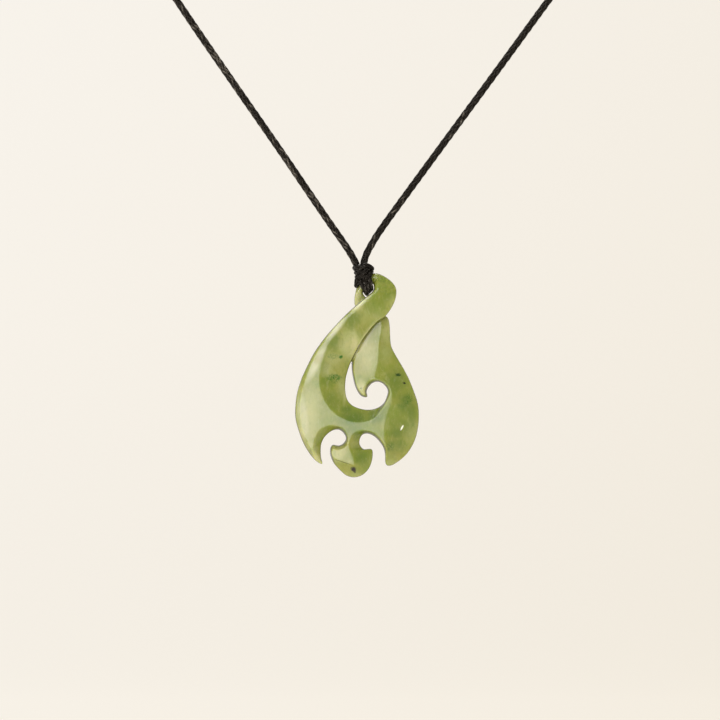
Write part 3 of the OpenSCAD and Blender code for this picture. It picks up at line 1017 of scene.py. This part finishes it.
@dataclass
class Closure:
    """The plain barrel at the nape, served with a close winding of thread."""

    length: float = 20.0
    diameter: float = 3.6
    rounding: float = 0.9
    thread: float = 0.42
    # Points of one turn of the thread, sides of its section, and sides of the core
    steps: int = 20
    sides: int = 6
    core_sides: int = 32
    # The thread's radius as a share of its spacing, so that its turns press together
    fullness: float = 0.56
    crown: float = 0.55
    # How far the core lies under the winding's outside, as a share of the rounding
    core_inset: float = 0.75

    def build(self, material: bpy.types.Material) -> bpy.types.Object:
        """Makes the barrel.

        Args:
            material: The thread's surface.

        Returns:
            The finished piece.
        """
        holder = placed("closure_holder", bpy.data.meshes.new("closure_holder"))
        turns = round((self.length - 0.5 * self.rounding) / self.thread)
        sizes = {
            "Length": self.length * MM, "Radius": self.diameter / 2 * MM, "Rounding": self.rounding * MM,
            "Thread": self.thread * MM, "Turns": float(turns), "Points": turns * self.steps,
        }
        piece = dressed_mesh(holder, self._tree(sizes, material), sizes, "back_closure_whipping")
        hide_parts("back_closure")
        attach(piece, "necklace")
        return piece

    def _tree(self, usual: dict[str, float | int], material: bpy.types.Material) -> bpy.types.NodeTree:
        """The geometry tree of the winding.

        Args:
            usual: Names and usual values of its inputs: the barrel's sizes, then the thread's.
            material: The thread's surface.

        Returns:
            The tree.
        """
        tree = Shape.new("thread_winding")
        length, radius, rounding, thread, turns, count = tree.named_inputs(usual)
        straight = tree.add("GeometryNodeCurvePrimitiveLine", inputs={"End": (1.0, 0.0, 0.0)})
        inputs = {"Curve": straight, "Count": count}
        dense = tree.add("GeometryNodeResampleCurve", {"mode": "COUNT"}, inputs)
        share = tree.add("GeometryNodeSplineParameter", output="Factor")
        x = (share - 0.5) * (length - thread)
        from_end = (length * 0.5 - x.absolute()).larger(0.0)
        dip = 1.0 - (from_end / rounding).clamped()
        out = radius - thread * 0.5 - rounding * (1.0 - (1.0 - dip * dip).root())
        turn = share * turns * FULL_TURN
        place = tree.joined(x, turn.sin() * out, turn.cos() * out + radius)
        wound = tree.add("GeometryNodeSetPosition", inputs={"Geometry": dense, "Position": place})
        wound, along = tree.held(wound, share.other("Length"), "along")
        winding = tree.thread(wound, self.sides, thread * self.fullness, along, 0.0, self.crown)

        # The core ends one thread short at both ends
        core_sizes = {"Radius": radius - rounding * self.core_inset, "Depth": length - thread * 2.0}
        inputs = {"Vertices": self.core_sides, "Side Segments": 1, **core_sizes}
        core = tree.add("GeometryNodeMeshCylinder", inputs=inputs, output="Mesh")
        lie = {"Rotation": (0.0, math.radians(90.0), 0.0), "Translation": tree.joined(0.0, 0.0, radius)}
        lying = tree.add("GeometryNodeTransform", inputs={"Geometry": core, **lie})
        return tree.finished([winding, lying], material)


@dataclass
class Hook:
    """The carved hook, with its edges and ridges eased as a polished stone's are."""

    weld: float = 0.002
    voxel: float = 0.19
    easing: float = 0.5
    passes: int = 3

    def build(self, node: bpy.types.Object, material: bpy.types.Material) -> bpy.types.Object:
        """Makes the hook from a copy of its solid, in millimetres until it is eased.

        Args:
            node: The solid of the hook.
            material: The stone.

        Returns:
            The finished piece.
        """
        solid = placed("hook_solid", node.data.copy())
        for vertex in solid.data.vertices:
            vertex.co = vertex.co / MM
        solid.modifiers.new("weld", "WELD").merge_threshold = self.weld
        remesh = solid.modifiers.new("remesh", "REMESH")
        remesh.mode = "VOXEL"
        remesh.voxel_size = self.voxel
        ease = solid.modifiers.new("ease", "SMOOTH")
        ease.factor = self.easing
        ease.iterations = self.passes
        piece = baked(solid, "hook_stone")
        for vertex in piece.data.vertices:
            vertex.co = vertex.co * MM
        piece.data.materials.clear()
        piece.data.materials.append(material)
        for face in piece.data.polygons:
            face.use_smooth = True
        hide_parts("hook")
        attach(piece, "pendant")
        return piece


@dataclass(frozen=True)
class Softbox:
    """One rectangular soft light: where it stands, what it looks at, and its size, watts and colour."""

    name: str
    centre: Point
    aim: Point
    size: tuple[float, float]
    power: float
    colour: Point

    def build(self) -> None:
        """Adds the light."""
        data = bpy.data.lights.new(self.name, "AREA")
        data.shape = "RECTANGLE"
        data.size, data.size_y = self.size[0] * MM, self.size[1] * MM
        data.energy = self.power
        data.color = self.colour
        light = placed(self.name, data)
        light.location = Vector(self.centre) * MM
        light.rotation_euler = (Vector(self.aim) - Vector(self.centre)).to_track_quat("-Z", "Y").to_euler()
        light.visible_camera = False


@dataclass
class Studio:
    """The camera, the soft lights, and the pale floor and wall."""

    view_width: float = 177.1
    distance: float = 492.0
    look_at: tuple[float, float] = (-0.74, -192.96)
    sensor: float = 36.0
    # The nearest and the furthest that the camera sees, in metres
    clip: tuple[float, float] = (0.01, 10.0)
    # A large softbox behind and left of the camera, two dim fills, and a soft lamp above
    softboxes: tuple[Softbox, ...] = (
        Softbox(
            "key_softbox", (-345.0, -1100.0, 80.0), (-345.0, 0.0, 80.0), (760.0, 1360.0), 13.6,
            (1.0, 0.975, 0.965),
        ),
        Softbox("right_fill", (900.0, -350.0, -100.0), MIDDLE, (600.0, 900.0), 1.0, (1.0, 0.98, 0.95)),
        Softbox("left_fill", (-900.0, -150.0, -250.0), MIDDLE, (500.0, 300.0), 0.9, (1.0, 0.98, 0.94)),
        Softbox("top_lamp", (-150.0, 100.0, 500.0), MIDDLE, (700.0, 500.0), 4.0, (1.0, 0.99, 0.97)),
    )
    air: Point = (0.95, 0.92, 0.86)
    air_strength: float = 0.36
    wall_y: float = 1100.0
    floor_z: float = -420.0
    wall_top: float = 1900.0
    half_width: float = 2500.0
    bend: float = 250.0
    bend_steps: int = 12
    surround_radius: float = 1900.0
    surround_hole: float = 300.0
    surround_sides: int = 64
    # How far the surround's floor lies under the sweep's
    surround_drop: float = 1.0

    def camera(self) -> None:
        """Places the camera as the photograph's stood: straight in front, with a long lens."""
        data = bpy.data.cameras.new("front_camera")
        data.sensor_width = self.sensor
        data.lens = self.sensor * self.distance / self.view_width
        data.clip_start, data.clip_end = self.clip
        camera = placed("front_camera", data)
        camera.location = (self.look_at[0] * MM, -self.distance * MM, self.look_at[1] * MM)
        camera.rotation_euler = (math.radians(90.0), 0.0, 0.0)
        bpy.context.scene.camera = camera
        bpy.context.scene.view_settings.view_transform = "Standard"

    def light(self) -> None:
        """Adds the lights and the pale light of the room."""
        for softbox in self.softboxes:
            softbox.build()
        world = bpy.data.worlds.new("pale_room")
        world.use_nodes = True
        background = next(n for n in world.node_tree.nodes if n.bl_idname == "ShaderNodeBackground")
        background.inputs["Color"].default_value = (*self.air, 1.0)
        background.inputs["Strength"].default_value = self.air_strength
        bpy.context.scene.world = world

    def backdrop(self, material: bpy.types.Material) -> None:
        """Makes the paper sweep: a floor that curves up into the wall behind.

        Args:
            material: The paper.
        """
        profile = [(-self.half_width, self.floor_z), *self._bent(self.wall_y), (self.wall_y, self.wall_top)]
        rows = [[(x, y, z) for y, z in profile] for x in (-self.half_width, self.half_width)]
        self._paper("paper_sweep", rows, material)

    def surround(self, material: bpy.types.Material) -> None:
        """Makes the paper that closes the view on the other sides. It lights nothing.

        Args:
            material: The paper.
        """
        radius, drop = self.surround_radius, self.surround_drop
        floor, top = (self.surround_hole, self.floor_z - drop), (radius, self.wall_top)
        profile = [floor, *self._bent(radius, drop), top]
        rows = []
        for k in range(self.surround_sides + 1):
            a = FULL_TURN * k / self.surround_sides
            rows.append([(r * math.cos(a), r * math.sin(a), z) for r, z in profile])
        paper = self._paper("paper_surround", rows, material)
        paper.visible_diffuse = paper.visible_glossy = False
        paper.visible_transmission = paper.visible_shadow = False

    def _bent(self, wall: float, drop: float = 0.0) -> list[tuple[float, float]]:
        """The bend between floor and wall.

        Args:
            wall: Where the wall stands.
            drop: How far the bend is lowered.

        Returns:
            The points of the bend, outwards and upwards.
        """
        points = []
        for k in range(self.bend_steps + 1):
            a = math.pi / 2 * k / self.bend_steps
            rise = self.bend * (1 - math.cos(a))
            points.append((wall - self.bend + self.bend * math.sin(a), self.floor_z - drop + rise))
        return points

    @staticmethod
    def _paper(name: str, rows: list[list[Point]], material: bpy.types.Material) -> bpy.types.Object:
        """A smooth sheet through rows of points.

        Args:
            name: The object's name.
            rows: Rows of points in millimetres, all of one length.
            material: The paper.

        Returns:
            The sheet.
        """
        count = len(rows[0])
        vertices = [tuple(c * MM for c in point) for row in rows for point in row]
        faces = [
            (a * count + b, (a + 1) * count + b, (a + 1) * count + b + 1, a * count + b + 1)
            for a in range(len(rows) - 1)
            for b in range(count - 1)
        ]
        mesh = bpy.data.meshes.new(name)
        mesh.from_pydata(vertices, [], faces)
        mesh.materials.append(material)
        for face in mesh.polygons:
            face.use_smooth = True
        made = placed(name, mesh)
        return made


def main() -> None:
    """Builds the studio and every piece."""
    logging.basicConfig(level=logging.INFO, format="%(message)s")
    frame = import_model()
    studio = Studio()
    studio.camera()
    # The left leg's cord is greyer than the right leg's: painted light, for the left leg being lit more than
    # the right
    lit_left_wax = WaxedBraid("waxed_braid_left", bloom_and_sheen=0.60)
    shaded_right_wax = WaxedBraid("waxed_braid_right", bloom_and_sheen=0.10)
    # The knot's grey on its crowns is partly painted sheen as well
    knot_wax = WaxedBraid("waxed_braid_knot", bloom_and_sheen=0.55, worn_and_sheen=(0.120, 0.108, 0.095))
    cord, knot_cord = Braid(), Braid(strands=8, pitch=6.0, step=0.28)
    pieces = [
        Leg("cord_left", LEFT_ROUTE).build(cord, lit_left_wax.material()),
        Leg("cord_right", RIGHT_ROUTE).build(cord, shaded_right_wax.material()),
        Knot().build(knot_cord, knot_wax.material()),
        Closure().build(WaxedBraid("waxed_black_thread").material()),
        Hook().build(frame["nodes"]["hook"], PolishedStone().material()),
    ]
    for piece in pieces:
        log.info("%s: %d faces", piece.name, len(piece.data.polygons))
    studio.light()
    paper = Paper().material()
    studio.backdrop(paper)
    studio.surround(paper)


if __name__ == "__main__":
    main()
